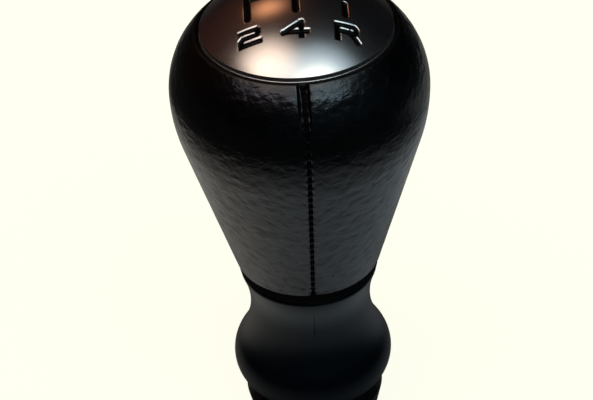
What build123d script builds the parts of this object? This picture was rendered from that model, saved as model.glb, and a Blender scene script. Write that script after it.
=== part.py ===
from build123d import *
import math
import os

# Leather-wrapped gear shift knob, built as it comes apart on a bench.
# Frame: millimetres, +Z up along the lever, origin at the middle of the base ring's foot.
# The leather's seam faces -Y, towards the driver.

# Grip: leather outside, in heights above the hem
grip_r = 25.0
grip_rise = 41.0
hem_r = 14.8
belly_arc_r = 35.0
shoulder_arc_r = 18.5
leather_t = 1.2
glue_film = 0.05
cap_hole_r = 18.55
edge_round = 0.5
lip_h = 7.6
hem_turn = 3.4
seam_w = 1.0
seam_depth = 0.35

# Cap with the shift pattern: domed disc with a bevelled edge, a skirt and snap legs
cap_face_r = 18.0
cap_gap = 0.2
cap_bevel_h = 1.1
cap_proud = 0.1
dome_arc_r = 27.5
cap_t = 1.8
skirt_t = 1.4
skirt_h = 8.0
leg_count = 3
leg_w = 5.0
leg_t = 1.4
leg_reach = 4.0
barb_out = 0.7
barb_h = 1.3
ledge_t = 2.0

# Core that the leather is glued to
rim_drop = 4.8
ledge_w = 1.85
floor_rise = 9.0
core_wall = 2.5
tube_wall = 1.6
tube_end_t = 2.5
rib_count = 6
rib_t = 1.6
rib_drop = 3.0
socket_depth = 6.3

# Sleeve that grips the gear lever
lever_r = 6.0
sleeve_wall = 2.0
sleeve_len = 66.0
sleeve_lift = 0.8
slit_w = 1.2
slit_len = 22.0
slit_count = 3
spring_t = 0.8
spring_h = 5.6
spring_drop = 9.0
spring_gap_deg = 30.0
spring_play = 0.1
slip = 0.1

# Collar under the grip: flare, neck and bulb, in heights above the base
collar_step = 0.4
collar_top_z = 41.3
neck_r = 12.5
neck_z = 31.7
bulb_r = 16.75
bulb_z = 17.0
bulb_arc_r = 7.25
collar_wall = 2.4
collar_lip_r = 12.4
hem_clear = 0.6
spigot_play = 0.5
hem_ring_h = 2.2
hem_ring_inset = 0.5

# Base ring under the bulb
foot_r = 13.2
shoulder_ring_r = 14.7
shoulder_ring_z = 7.4
foot_w = 1.9
plug_wall = 1.1
plug_h = 4.5
web_t = 2.9
guide_wall = 1.5
ring_round = 0.4

# Heights and radii that follow from the sizes above
hem_z = collar_top_z + hem_ring_h
grip_z = hem_z + grip_rise
belly_c = (grip_r - belly_arc_r, grip_z)
shoulder_c = (grip_r - shoulder_arc_r, grip_z)
hem_to_centre = math.hypot(hem_r - belly_c[0], hem_z - grip_z)
cone_angle = -(math.atan2(hem_z - grip_z, hem_r - belly_c[0]) + math.acos(belly_arc_r / hem_to_centre))
cone_deg = math.degrees(cone_angle)


def shoulder_height(radius, inset):
    """Height of the shoulder at a radius, that far under the leather's outer face."""
    return grip_z + math.sqrt((shoulder_arc_r - inset) ** 2 - (radius - shoulder_c[0]) ** 2)


def shoulder_radius(height, inset):
    """Radius of the shoulder at a height, that far under the leather's outer face."""
    return shoulder_c[0] + math.sqrt((shoulder_arc_r - inset) ** 2 - (height - grip_z) ** 2)


def cone_radius(height, inset):
    """Radius of the grip's straight lower cone at a height, that far under the outer face."""
    return hem_r + (height - hem_z) * math.tan(cone_angle) - inset / math.cos(cone_angle)


def grip_side(inset, low_z, top_z):
    """Draw the grip's side upwards: cone, belly and shoulder, that far under the outer face."""
    belly = belly_arc_r - inset
    shoulder = shoulder_arc_r - inset
    top_deg = math.degrees(math.asin((top_z - grip_z) / shoulder))
    arc = CenterArc(belly_c, belly, -cone_deg, cone_deg)
    Line((cone_radius(low_z, inset), low_z), arc @ 0)
    CenterArc(shoulder_c, shoulder, 0, top_deg)


def turned(angle):
    """Upright plane through the axis, turned that far from the front seam."""
    return Plane(origin=(0, 0, 0), x_dir=(0, -1, 0), z_dir=(-1, 0, 0)).rotated((0, 0, angle))


crest_z = shoulder_height(cap_hole_r, 0)
lip_z = crest_z - lip_h
lip_r = cap_hole_r + leather_t
core_inset = leather_t + glue_film
rim_z = crest_z - rim_drop
core_low_z = hem_z + core_inset
face_z = crest_z + cap_proud
cap_r = cap_hole_r - cap_gap
ledge_z = face_z - skirt_h
ledge_r = cap_r - ledge_w
collar_top_r = hem_r - collar_step
sleeve_r = lever_r + sleeve_wall
bore_r = sleeve_r + slip
sleeve_top_z = sleeve_lift + sleeve_len
tube_r = bore_r + tube_wall
tube_top_z = sleeve_top_z + slip + tube_end_t
floor_z = hem_z + floor_rise
spigot_r = hem_r - hem_turn - hem_clear
socket_r = spigot_r + slip
socket_z = core_low_z + socket_depth

os.makedirs("parts", exist_ok=True)

# Leather cover: one wrapped skin, turned down inside the cap's edge and in under the core
with BuildPart() as leather_cover:
    rim_r = shoulder_radius(rim_z + glue_film, leather_t)
    hem_in_z = hem_z + leather_t
    with BuildSketch(Plane.XZ):
        with BuildLine():
            grip_side(0, hem_z, crest_z)
            Polyline(
                (cap_hole_r, crest_z),
                (cap_hole_r, lip_z),
                (lip_r, lip_z),
                (lip_r, rim_z + glue_film),
                (rim_r, rim_z + glue_film),
            )
            grip_side(leather_t, hem_in_z, rim_z + glue_film)
            Polyline(
                (cone_radius(hem_in_z, leather_t), hem_in_z),
                (hem_r - hem_turn, hem_in_z),
                (hem_r - hem_turn, hem_z),
                (hem_r, hem_z),
            )
        make_face()
    revolve(axis=Axis.Z)
    crest = leather_cover.edges().filter_by(GeomType.CIRCLE).sort_by(Axis.Z)[-1]
    fillet(crest, edge_round)
    # The seam down the front is a shallow groove that follows the skin
    with BuildSketch(turned(0)):
        with BuildLine():
            grip_side(seam_depth, hem_z, crest_z - edge_round)
            grip_side(-seam_depth, hem_z, crest_z - edge_round)
            Line((cone_radius(hem_z, seam_depth), hem_z), (cone_radius(hem_z, -seam_depth), hem_z))
            Line(
                (shoulder_radius(crest_z - edge_round, seam_depth), crest_z - edge_round),
                (shoulder_radius(crest_z - edge_round, -seam_depth), crest_z - edge_round),
            )
        make_face()
    extrude(amount=seam_w / 2, both=True, mode=Mode.SUBTRACT)
leather_cover.part.label = "leather_cover"
export_step(leather_cover.part, "parts/leather_cover.step")

# Grip core: moulded body under the leather, hollow from above, ribbed round the lever's tube
with BuildPart() as grip_core:
    catch_z = ledge_z - ledge_t
    catch_r = ledge_r + barb_out + slip
    pocket_z = ledge_z - leg_reach - slip
    pocket_low_r = cone_radius(floor_z, core_inset + core_wall)
    with BuildSketch(Plane.XZ):
        with BuildLine():
            grip_side(core_inset, core_low_z, rim_z)
            Polyline(
                (shoulder_radius(rim_z, core_inset), rim_z),
                (lip_r + glue_film, rim_z),
                (lip_r + glue_film, ledge_z),
                (ledge_r, ledge_z),
                (ledge_r, catch_z),
                (catch_r, catch_z),
                (catch_r, pocket_z),
                (ledge_r, pocket_z),
                (pocket_low_r, floor_z),
                (tube_r, floor_z),
                (tube_r, tube_top_z),
                (0, tube_top_z),
                (0, tube_top_z - tube_end_t),
                (bore_r, tube_top_z - tube_end_t),
                (bore_r, socket_z),
                (socket_r, socket_z),
                (socket_r, core_low_z),
                (cone_radius(core_low_z, core_inset), core_low_z),
            )
        make_face()
    revolve(axis=Axis.Z)
    # Ribs tie the tube to the wall, each sunk into both by half the wall
    rib_z = tube_top_z - rib_drop
    slope = (ledge_r - pocket_low_r) / (pocket_z - floor_z)
    for turn in range(rib_count):
        with BuildSketch(turned(360 / rib_count * (turn + 0.5))):
            with BuildLine():
                Polyline(
                    (tube_r - tube_wall / 2, floor_z - slip),
                    (pocket_low_r + core_wall / 2, floor_z - slip),
                    (pocket_low_r + slope * (rib_z - floor_z) + core_wall / 2, rib_z),
                    (tube_r - tube_wall / 2, rib_z),
                    close=True,
                )
            make_face()
        extrude(amount=rib_t / 2, both=True)
grip_core.part.label = "grip_core"
export_step(grip_core.part, "parts/grip_core.step")

# Pattern cap: domed disc with a bevelled edge, a skirt that stands on the ledge and snap legs
with BuildPart() as pattern_cap:
    dome_c = (0, face_z - math.sqrt(dome_arc_r**2 - cap_face_r**2))
    under_arc_r = dome_arc_r - cap_t
    skirt_r = cap_r - skirt_t
    face_deg = math.degrees(math.acos(cap_face_r / dome_arc_r))
    under_deg = math.degrees(math.acos(skirt_r / under_arc_r))
    with BuildSketch(Plane.XZ):
        with BuildLine():
            dome = CenterArc(dome_c, dome_arc_r, face_deg, 90 - face_deg)
            under = CenterArc(dome_c, under_arc_r, under_deg, 90 - under_deg)
            Line(dome @ 1, under @ 1)
            Polyline(
                dome @ 0,
                (cap_r, face_z - cap_bevel_h),
                (cap_r, ledge_z),
                (skirt_r, ledge_z),
                under @ 0,
            )
        make_face()
    revolve(axis=Axis.Z)
    leg_r = math.sqrt((ledge_r - slip) ** 2 - (leg_w / 2) ** 2)
    barb_r = math.sqrt((ledge_r + barb_out) ** 2 - (leg_w / 2) ** 2)
    leg_top_z = dome_c[1] + math.sqrt(under_arc_r**2 - (leg_r - leg_t) ** 2) + cap_t / 3
    barb_z = ledge_z - ledge_t - slip
    for turn in range(leg_count):
        with BuildSketch(turned(360 / leg_count * turn)):
            with BuildLine():
                Polyline(
                    (leg_r - leg_t, leg_top_z),
                    (leg_r, leg_top_z),
                    (leg_r, barb_z),
                    (barb_r, barb_z),
                    (leg_r, barb_z - barb_h),
                    (leg_r, ledge_z - leg_reach),
                    (leg_r - leg_t, ledge_z - leg_reach),
                    close=True,
                )
            make_face()
        extrude(amount=leg_w / 2, both=True)
pattern_cap.part.label = "pattern_cap"
export_step(pattern_cap.part, "parts/pattern_cap.step")

# Hem ring: black trim ring that covers the turned-in hem, set back a little from it
with BuildPart() as hem_ring:
    with BuildSketch(Plane.XY.offset(collar_top_z)):
        Circle(hem_r - hem_ring_inset)
        Circle(spigot_r + slip, mode=Mode.SUBTRACT)
    extrude(amount=hem_ring_h)
hem_ring.part.label = "hem_ring"
export_step(hem_ring.part, "parts/hem_ring.step")

# Neck collar: hollow moulding in one flowing line, flare, neck and bulb, with a spigot on top
with BuildPart() as neck_collar:
    bulb_c = (bulb_r - bulb_arc_r, bulb_z)
    flare_out = collar_top_r - neck_r
    flare_h = collar_top_z - neck_z
    flare_arc_r = (flare_h**2 + flare_out**2) / (2 * flare_out)
    flare_c = (neck_r + flare_arc_r, neck_z)
    neck_in = neck_r - bulb_c[0]
    neck_h = neck_z - bulb_z
    neck_arc_r = (neck_in**2 + neck_h**2 - bulb_arc_r**2) / (2 * (bulb_r - neck_r))
    neck_c = (neck_r + neck_arc_r, neck_z)
    sway_deg = math.degrees(math.atan2(neck_h, neck_c[0] - bulb_c[0]))
    lip_h_z = bulb_z - math.sqrt(bulb_arc_r**2 - (collar_lip_r - bulb_c[0]) ** 2)
    ceiling_z = collar_top_z - collar_wall
    plug_r = bore_r + guide_wall + plug_wall + slip
    mouth_r = plug_r + slip

    def collar_side(inset, low_r, top_z):
        """Draw the collar's side upwards: bulb, neck and flare, that far under the outside."""
        bulb_in = bulb_arc_r - inset
        low_deg = -math.degrees(math.acos((low_r - bulb_c[0]) / bulb_in))
        flare_in = flare_arc_r + inset
        top_deg = math.degrees(math.asin((top_z - neck_z) / flare_in))
        CenterArc(bulb_c, bulb_in, low_deg, sway_deg - low_deg)
        CenterArc(neck_c, neck_arc_r + inset, 180 + sway_deg, -sway_deg)
        CenterArc(flare_c, flare_in, 180, -top_deg)
        return flare_c[0] - math.sqrt(flare_in**2 - (top_z - neck_z) ** 2)

    mouth_z = bulb_z - math.sqrt((bulb_arc_r - collar_wall) ** 2 - (mouth_r - bulb_c[0]) ** 2)
    with BuildSketch(Plane.XZ):
        with BuildLine():
            collar_side(0, collar_lip_r, collar_top_z)
            ceiling_r = collar_side(collar_wall, mouth_r, ceiling_z)
            spigot_z = socket_z - spigot_play
            Polyline(
                (collar_top_r, collar_top_z),
                (spigot_r, collar_top_z),
                (spigot_r, spigot_z),
                (bore_r, spigot_z),
                (bore_r, ceiling_z),
                (ceiling_r, ceiling_z),
            )
            Polyline((mouth_r, mouth_z), (mouth_r, lip_h_z), (collar_lip_r, lip_h_z))
        make_face()
    revolve(axis=Axis.Z)
neck_collar.part.label = "neck_collar"
export_step(neck_collar.part, "parts/neck_collar.step")

# Base ring: tapered ring that plugs into the bulb's mouth and guides the sleeve's lower end
with BuildPart() as base_ring:
    guide_r = bore_r + guide_wall
    with BuildSketch(Plane.XZ):
        with BuildLine():
            Polyline(
                (bore_r, 0),
                (guide_r, 0),
                (guide_r, lip_h_z - web_t),
                (foot_r - foot_w, lip_h_z - web_t),
                (foot_r - foot_w, 0),
                (foot_r, 0),
                (shoulder_ring_r, shoulder_ring_z),
                (collar_lip_r, lip_h_z),
                (plug_r, lip_h_z),
                (plug_r, lip_h_z + plug_h),
                (plug_r - plug_wall, lip_h_z + plug_h),
                (plug_r - plug_wall, lip_h_z),
                (bore_r, lip_h_z),
                close=True,
            )
        make_face()
    revolve(axis=Axis.Z)
    corner = base_ring.edges().filter_by(GeomType.CIRCLE).sort_by(SortBy.RADIUS)[-1]
    fillet(corner, ring_round)
base_ring.part.label = "base_ring"
export_step(base_ring.part, "parts/base_ring.step")

# Lever sleeve: plastic tube, slit at its upper end so that the spring can pinch it
with BuildPart() as lever_sleeve:
    spring_in_r = sleeve_r - spring_t - spring_play
    spring_z = sleeve_top_z - spring_drop
    with BuildSketch(Plane.XY.offset(sleeve_lift)):
        Circle(sleeve_r)
        Circle(lever_r, mode=Mode.SUBTRACT)
    extrude(amount=sleeve_len)
    with BuildSketch(Plane.XY.offset(spring_z - spring_play)):
        Circle(sleeve_r)
        Circle(spring_in_r - spring_play, mode=Mode.SUBTRACT)
    extrude(amount=spring_h + 2 * spring_play, mode=Mode.SUBTRACT)
    for turn in range(slit_count):
        with BuildSketch(turned(360 / slit_count * (turn + 0.5))):
            with BuildLine():
                Polyline(
                    (lever_r / 2, sleeve_top_z - slit_len),
                    (sleeve_r + slip, sleeve_top_z - slit_len),
                    (sleeve_r + slip, sleeve_top_z + slip),
                    (lever_r / 2, sleeve_top_z + slip),
                    close=True,
                )
            make_face()
        extrude(amount=slit_w / 2, both=True, mode=Mode.SUBTRACT)
lever_sleeve.part.label = "lever_sleeve"
export_step(lever_sleeve.part, "parts/lever_sleeve.step")

# Sleeve spring: open band of spring steel in the sleeve's groove
with BuildPart() as sleeve_spring:
    gap_x = sleeve_r * math.tan(math.radians(spring_gap_deg / 2))
    with BuildSketch(Plane.XY.offset(spring_z)):
        Circle(spring_in_r + spring_t)
        Circle(spring_in_r, mode=Mode.SUBTRACT)
        with BuildLine():
            Polyline((0, 0), (gap_x, sleeve_r), (-gap_x, sleeve_r), close=True)
        make_face(mode=Mode.SUBTRACT)
    extrude(amount=spring_h)
sleeve_spring.part.label = "sleeve_spring"
export_step(sleeve_spring.part, "parts/sleeve_spring.step")
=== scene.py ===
import math

import bpy
import numpy as np
from mathutils import Matrix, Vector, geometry


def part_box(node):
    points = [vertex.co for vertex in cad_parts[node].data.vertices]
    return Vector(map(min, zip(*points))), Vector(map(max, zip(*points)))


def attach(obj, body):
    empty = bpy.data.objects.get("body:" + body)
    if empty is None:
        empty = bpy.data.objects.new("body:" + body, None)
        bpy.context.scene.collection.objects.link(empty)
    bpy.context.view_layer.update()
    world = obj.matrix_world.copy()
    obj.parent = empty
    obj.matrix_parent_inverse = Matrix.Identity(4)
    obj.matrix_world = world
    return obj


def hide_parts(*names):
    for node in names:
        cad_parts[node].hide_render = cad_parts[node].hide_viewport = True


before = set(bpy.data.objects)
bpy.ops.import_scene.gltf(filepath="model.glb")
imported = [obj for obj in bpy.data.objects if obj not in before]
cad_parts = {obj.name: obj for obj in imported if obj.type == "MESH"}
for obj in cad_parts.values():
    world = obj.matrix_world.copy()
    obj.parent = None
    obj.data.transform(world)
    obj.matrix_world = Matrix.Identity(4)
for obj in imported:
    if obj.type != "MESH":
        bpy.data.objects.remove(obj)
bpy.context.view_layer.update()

# Lever sleeve: the tube that presses onto the gear lever, moulded in grey glass-filled plastic.
# Its upper end is slit so that the spring band can pinch it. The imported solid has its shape.
mm = 0.001
sleeve_grey = (0.16, 0.165, 0.17, 1)
sleeve_fibre_grey = (0.22, 0.225, 0.23, 1)


class Wire:
    """One output among a material's nodes, so that shader maths is written as sums."""

    def __init__(self, socket):
        self.socket = socket

    def node(self, kind, settings, sockets, out=0):
        """Add any node: its settings first, then the values or wires of its sockets."""
        tree = self.socket.id_data
        made = tree.nodes.new(kind)
        for key, value in settings.items():
            setattr(made, key, value)
        for key, value in sockets.items():
            if isinstance(value, Wire):
                tree.links.new(value.socket, made.inputs[key])
            else:
                made.inputs[key].default_value = value
        return Wire(made.outputs[out])

    def feed(self, surface, name):
        """Lead this wire to one of the shader's sockets."""
        self.socket.id_data.links.new(self.socket, surface.inputs[name])

    def math(self, operation, *values):
        return self.node("ShaderNodeMath", {"operation": operation}, dict(enumerate(values)))

    def vector(self, operation, *others, out=0):
        """Vector maths that starts from this wire."""
        values = dict(enumerate((self, *others)))
        return self.node("ShaderNodeVectorMath", {"operation": operation}, values, out)

    def combine(self, **parts):
        """A vector from its named parts."""
        return self.node("ShaderNodeCombineXYZ", {}, parts)

    def axis(self, number):
        """One of the three numbers of this wire's vector."""
        return self.node("ShaderNodeSeparateXYZ", {}, {0: self}, number)

    def __add__(self, other):
        return self.math("ADD", self, other)

    def __sub__(self, other):
        return self.math("SUBTRACT", self, other)

    def __rsub__(self, other):
        return self.math("SUBTRACT", other, self)

    def __mul__(self, other):
        return self.math("MULTIPLY", self, other)

    def __truediv__(self, other):
        return self.math("DIVIDE", self, other)

    def __pow__(self, other):
        return self.math("POWER", self, other)

    def __abs__(self):
        return self.math("ABSOLUTE", self)

    __radd__ = __add__
    __rmul__ = __mul__


def new_finish(name, fixed):
    """Start a material with its fixed values, and a wire that reads the piece's own place."""
    finish = bpy.data.materials.new(name)
    finish.use_nodes = True
    nodes = finish.node_tree.nodes
    surface = nodes["Principled BSDF"]
    for socket, value in fixed.items():
        surface.inputs[socket].default_value = value
    return finish, surface, Wire(nodes.new("ShaderNodeTexCoord").outputs["Object"])


def speckle(place, size, stretch=(1, 1, 1), detail=2.0):
    """Random grain of about that size, drawn out where stretch is below one."""
    spread = place.node("ShaderNodeMapping", {}, {"Vector": place, "Scale": stretch})
    return place.node("ShaderNodeTexNoise", {}, {"Vector": spread, "Scale": 1 / size, "Detail": detail})


def two_tone(share, dark, light):
    """Run from the dark colour to the light one as share goes from 0 to 1."""
    return share.node("ShaderNodeMix", {"data_type": "RGBA"}, {0: share, 6: dark, 7: light}, 2)


def ramp(value, low, high):
    """Go smoothly from 0 to 1 as the value goes from low to high."""
    ends = {"Value": value, "From Min": low, "From Max": high}
    return value.node("ShaderNodeMapRange", {"interpolation_type": "SMOOTHSTEP"}, ends)


def raise_relief(surface, height, depth):
    """Stand the surface proud by up to depth where height is 1."""
    bump = height.node("ShaderNodeBump", {}, {"Height": height, "Strength": 1.0, "Distance": depth})
    bump.feed(surface, "Normal")


def dress(node_name, name, fixed, *, size, stretch=(1, 1, 1), patch=None, tones, rough, depth):
    """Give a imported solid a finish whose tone, roughness and relief follow one grain."""
    finish, surface, place = new_finish(name, fixed)
    grain = speckle(place, size, stretch)
    two_tone(ramp(grain, *patch) if patch else grain, *tones).feed(surface, "Base Color")
    (rough[0] + rough[1] * grain).feed(surface, "Roughness")
    raise_relief(surface, grain, depth)
    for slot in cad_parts[node_name].material_slots:
        slot.material = finish


dress(
    "lever_sleeve",
    "sleeve_finish",
    {},
    size=0.5 * mm,
    stretch=(1, 1, 0.12),
    patch=(0.45, 0.75),
    tones=(sleeve_grey, sleeve_fibre_grey),
    rough=(0.5, 0.15),
    depth=0.03 * mm,
)

# Sleeve spring: an open band of bright spring steel, rolled from strip and sprung into the groove
# near the sleeve's top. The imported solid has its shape.
steel_grey = (0.46, 0.46, 0.47, 1)
steel_pale = (0.58, 0.58, 0.58, 1)
dress(
    "sleeve_spring",
    "spring_finish",
    {"Metallic": 1.0},
    size=0.25 * mm,
    stretch=(0.1, 0.1, 1),
    tones=(steel_grey, steel_pale),
    rough=(0.22, 0.2),
    depth=0.01 * mm,
)

# Grip core: the moulded body under the leather, in dark recycled plastic with a sparked mould's
# dull grain. The leather is glued to it, and the cap snaps into its top.
core_dark = (0.018, 0.018, 0.019, 1)
core_light = (0.034, 0.034, 0.036, 1)
dress(
    "grip_core",
    "core_finish",
    {},
    size=0.35 * mm,
    tones=(core_dark, core_light),
    rough=(0.52, 0.2),
    depth=0.04 * mm,
)

# Leather cover: one skin of black semi-gloss leather, stretched wet over the core and glued down,
# its edge turned in round the cap and under the hem. Its two ends meet at the front in a butt
# seam that opens into a wider strip near the cap.
skin_low, skin_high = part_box("leather_cover")
hem_z = skin_low.z / mm
grip_r = skin_high.x / mm
grip_up = 41.0
grip_z = hem_z + grip_up
hem_r = 14.8
belly_arc_r = 35.0
shoulder_arc_r = 18.5
leather_t = 1.2
cap_hole_r = 18.55
crest_round = 0.64
hem_fold = 0.6
lip_h = 7.6
rim_drop = 4.75
hem_turn = 3.4
skin_in = 1.5
skin_out = 0.3
row_step = 0.4
edge_step = 0.12
turn_step = 0.8
inner_step = 2.0
half_columns = 220
column_crowd = 3.1
stitch_pitch = 1.87
stitch_start = 1.4
seam_depth = 0.55
seam_w = 0.23
seam_gape = 0.24
hem_spread = 0.2
hem_spread_from = 0.6
hem_spread_to = 3.0
strip_left = 1.08
strip_right = 0.66
strip_line_w = 0.19
strip_line_depth = 0.42
strip_from = 3.0
strip_to = 11.0
strip_edge = 0.1
strip_sunk = 0.14
strip_spread = 0.28
edge_roll_h = 0.07
edge_roll_w = 0.3
edge_roll_at = 2.2
calm_from = 0.4
calm_to = 1.6
crest_notch = 0.75
crest_notch_low = 2.6
crest_notch_high = 0.9
hem_notch = 0.5
hem_notch_w = 0.7
hem_notch_from = 0.3
hem_notch_to = 1.6
crease_h = 0.009
crease_seeds = (11, 12)
crease_cells = (56, 64)
crease_wave = 0.006
swell_cells = (30, 30)
crumple_h = 0.028
crumple_seed = 13
crumple_cells = (110, 60)
crumple_from = 1.5
crumple_in = 4.0
crumple_out = 5.0
crumple_to = 9.0
grain_h = 0.15 * mm
mottle_size = 2.2 * mm
crinkle_size = 0.85 * mm
crease_size = 1.65 * mm
crease_stretch = 0.7
crease_slant = 0.27
crease_drift = 3.2 * mm
crease_wander = 2.4 * mm
crease_shade_dull = 0.2
patch_size = 4 * mm
creased_from = 14.0
creased_to = 24.0
leather_black = (0.0001, 0.0003, 0.0006, 1)
leather_worn = (0.0006, 0.0009, 0.0013, 1)
# Near-black of cut leather, also used to paint shade into the grooves and creases
cut_and_shade_black = (0.0005, 0.0005, 0.0005, 1)


def arc_points(centre, radius, start_deg, end_deg, step):
    """Points along an arc in radius and height, about that far apart."""
    sweep = math.radians(end_deg - start_deg)
    count = max(2, round(abs(sweep) * radius / step))
    turn = math.radians(start_deg) + sweep * np.linspace(0, 1, count + 1)
    return np.stack([centre[0] + radius * np.cos(turn), centre[1] + radius * np.sin(turn)], 1)


def line_points(start, end, step):
    """Points along a straight line, about that far apart, without its two ends."""
    length = math.dist(start, end)
    count = max(2, round(length / step))
    share = np.linspace(0, 1, count + 1)[1:-1, None]
    return np.array(start) * (1 - share) + np.array(end) * share


def ease(value, low, high):
    """Go smoothly from 0 to 1 as the values go from low to high."""
    share = np.clip((value - low) / (high - low), 0, 1)
    return share * share * (3 - 2 * share)


def bumps(seed, cells_round, cells_down, angle, down):
    """Random smooth bumps on a closed band, with that many cells round it and down it."""
    heights = np.random.default_rng(seed).standard_normal((cells_down + 2, cells_round))
    across = (angle / math.tau + 0.5) * cells_round
    below = np.clip(down, 0, 1) * cells_down
    left = np.floor(across).astype(int)
    upper = np.floor(below).astype(int)
    across = ease(across - left, 0, 1)
    below = ease(below - upper, 0, 1)
    right = (left + 1) % cells_round
    left = left % cells_round
    above = heights[upper, left] * (1 - across) + heights[upper, right] * across
    under = heights[upper + 1, left] * (1 - across) + heights[upper + 1, right] * across
    return above * (1 - below) + under * below


def put(name, data):
    """Place a mesh, a lamp or a camera in the scene under that name."""
    piece = bpy.data.objects.new(name, data)
    bpy.context.scene.collection.objects.link(piece)
    return piece


def turned_shell(name, points, turn):
    """Close columns of points, each point at its own angle round the axis, into one shell."""
    columns, rows = points.shape[:2]
    radius = points[..., 0]
    places = np.stack([radius * np.sin(turn), -radius * np.cos(turn), points[..., 1]], 2)
    corner = np.arange(columns * rows).reshape(columns, rows)
    beside = np.roll(corner, -1, 0)
    faces = np.stack([corner, beside, np.roll(beside, -1, 1), np.roll(corner, -1, 1)], 2)
    mesh = bpy.data.meshes.new(name)
    mesh.from_pydata((places.reshape(-1, 3) * mm).tolist(), [], faces.reshape(-1, 4).tolist())
    mesh.shade_smooth()
    return put(name, mesh)


def store(mesh, name, values, kind="FLOAT", key="value"):
    """Keep a number or a direction with each of a mesh's points."""
    layer = mesh.attributes.new(name, kind, "POINT")
    layer.data.foreach_set(key, values.astype(np.float32).ravel())


belly_c = (grip_r - belly_arc_r, grip_z)
shoulder_c = (grip_r - shoulder_arc_r, grip_z)
hem_to_centre = math.hypot(hem_r - belly_c[0], hem_z - grip_z)
hem_bearing = math.atan2(hem_z - grip_z, hem_r - belly_c[0])
cone = -(hem_bearing + math.acos(belly_arc_r / hem_to_centre))
cone_deg = math.degrees(cone)
fold_c = (hem_r - hem_fold * (1 - math.sin(cone)) / math.cos(cone), hem_z + hem_fold)
crest_c_r = cap_hole_r + crest_round
crest_c_z = grip_z + math.sqrt((shoulder_arc_r - crest_round) ** 2 - (crest_c_r - shoulder_c[0]) ** 2)
crest_deg = math.degrees(math.atan2(crest_c_z - grip_z, crest_c_r - shoulder_c[0]))
sharp_crest_z = grip_z + math.sqrt(shoulder_arc_r**2 - (cap_hole_r - shoulder_c[0]) ** 2)
lip_z = sharp_crest_z - lip_h
rim_z = sharp_crest_z - rim_drop
fold = arc_points(fold_c, hem_fold, -90, -cone_deg, edge_step)
belly = arc_points(belly_c, belly_arc_r, -cone_deg, 0, row_step)
shoulder = arc_points(shoulder_c, shoulder_arc_r, 0, crest_deg, row_step)
crest = arc_points((crest_c_r, crest_c_z), crest_round, crest_deg, 180, edge_step)
inner_shoulder_r = shoulder_arc_r - leather_t
inner_deg = math.degrees(math.asin((rim_z - grip_z) / inner_shoulder_r))
inner_shoulder = arc_points(shoulder_c, inner_shoulder_r, inner_deg, 0, inner_step)
inner_belly = arc_points(belly_c, belly_arc_r - leather_t, 0, -cone_deg, inner_step)
hem_in_z = hem_z + leather_t
inner_hem_r = hem_r + leather_t * (math.tan(cone) - 1 / math.cos(cone))
hem_in_r = hem_r - hem_turn
outline = np.concatenate(
    [
        [(hem_in_r, hem_z)],
        line_points((hem_in_r, hem_z), fold[0], turn_step),
        fold,
        line_points(fold[-1], belly[0], row_step),
        belly,
        shoulder[1:],
        crest[1:],
        line_points(crest[-1], (cap_hole_r, lip_z), turn_step),
        [(cap_hole_r, lip_z), (cap_hole_r + leather_t, lip_z), (cap_hole_r + leather_t, rim_z)],
        inner_shoulder,
        inner_belly[1:],
        [(inner_hem_r, hem_in_z), (hem_in_r, hem_in_z)],
    ]
)
side_rows = len(outline) - len(inner_shoulder) - len(inner_belly) - 4
walked = np.concatenate([[0], np.cumsum(np.hypot(*np.diff(outline, axis=0).T))])
crest_row = int(np.argmax(outline[:, 1]))
below_crest = walked[crest_row] - walked
travel = np.roll(outline, -1, 0) - np.roll(outline, 1, 0)
travel /= np.linalg.norm(travel, axis=1)[:, None]
outward = np.stack([travel[:, 1], -travel[:, 0]], 1)
spread = np.sinh(column_crowd * np.linspace(0, 1, half_columns + 1)) / math.sinh(column_crowd)
angles = math.pi * np.concatenate([-spread[-2:0:-1], spread])
angle = np.repeat(angles[:, None], len(outline), 1)
across_seam = angle * outline[None, :, 0]
from_seam = np.abs(across_seam)
down = np.repeat(below_crest[None], len(angles), 0)
height = np.repeat(outline[None, :, 1], len(angles), 0)
skin = ease(outline[:, 0], hem_in_r + skin_in, hem_r - skin_out) * (np.arange(len(outline)) < side_rows)
skin = skin * ease(below_crest, -crest_round * 0.8, crest_round * 1.2)
opening = 1 - ease(down, strip_from, strip_to)
left_line = np.exp(-(((across_seam + strip_left) / strip_line_w) ** 2))
right_line = np.exp(-(((across_seam - strip_right) / strip_line_w) ** 2))
strip_lines = (left_line + right_line) * opening
sunk = opening * ease(across_seam + strip_left, -strip_edge, strip_edge)
sunk = sunk * ease(strip_right - across_seam, -strip_edge, strip_edge)
hem_near = 1 - ease(height, hem_z + hem_spread_from, hem_z + hem_spread_to)
gape = np.sin(math.pi * (down - stitch_start) / stitch_pitch) ** 2
seam_half = seam_w + seam_gape * gape + hem_spread * hem_near + strip_spread * opening
seam = np.exp(-((across_seam / seam_half) ** 2))
roll = np.exp(-(((from_seam - edge_roll_at * seam_w) / edge_roll_w) ** 2)) * (1 - opening)
depth_share = down / below_crest[0]
waved = angle + crease_wave * np.sin(height)
creases = bumps(crease_seeds[0], *crease_cells, waved, depth_share)
creases = creases + 0.5 * bumps(crease_seeds[1], *swell_cells, angle, depth_share)
crumples = bumps(crumple_seed, *crumple_cells, angle, depth_share)
crumples = crumples * (1 - ease(down, crumple_out, crumple_to)) * ease(down, crumple_from, crumple_in)
calm = ease(from_seam, calm_from, calm_to)
lift = crease_h * creases * calm + crumple_h * crumples * calm + edge_roll_h * roll
lift = lift - seam_depth * seam - strip_line_depth * strip_lines - strip_sunk * sunk
lift = lift * skin[None]
points = outline[None] + lift[..., None] * outward[None]
strip_side = np.where(across_seam < 0, strip_left, strip_right)
front_dip = np.clip(1 - from_seam / strip_side, 0, 1)
near_crest = ease(height, sharp_crest_z - crest_notch_low, sharp_crest_z - crest_notch_high)
points[..., 1] -= crest_notch * front_dip * near_crest
above_hem = ease(height, hem_z + hem_notch_from, hem_z + hem_notch_to)
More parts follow.
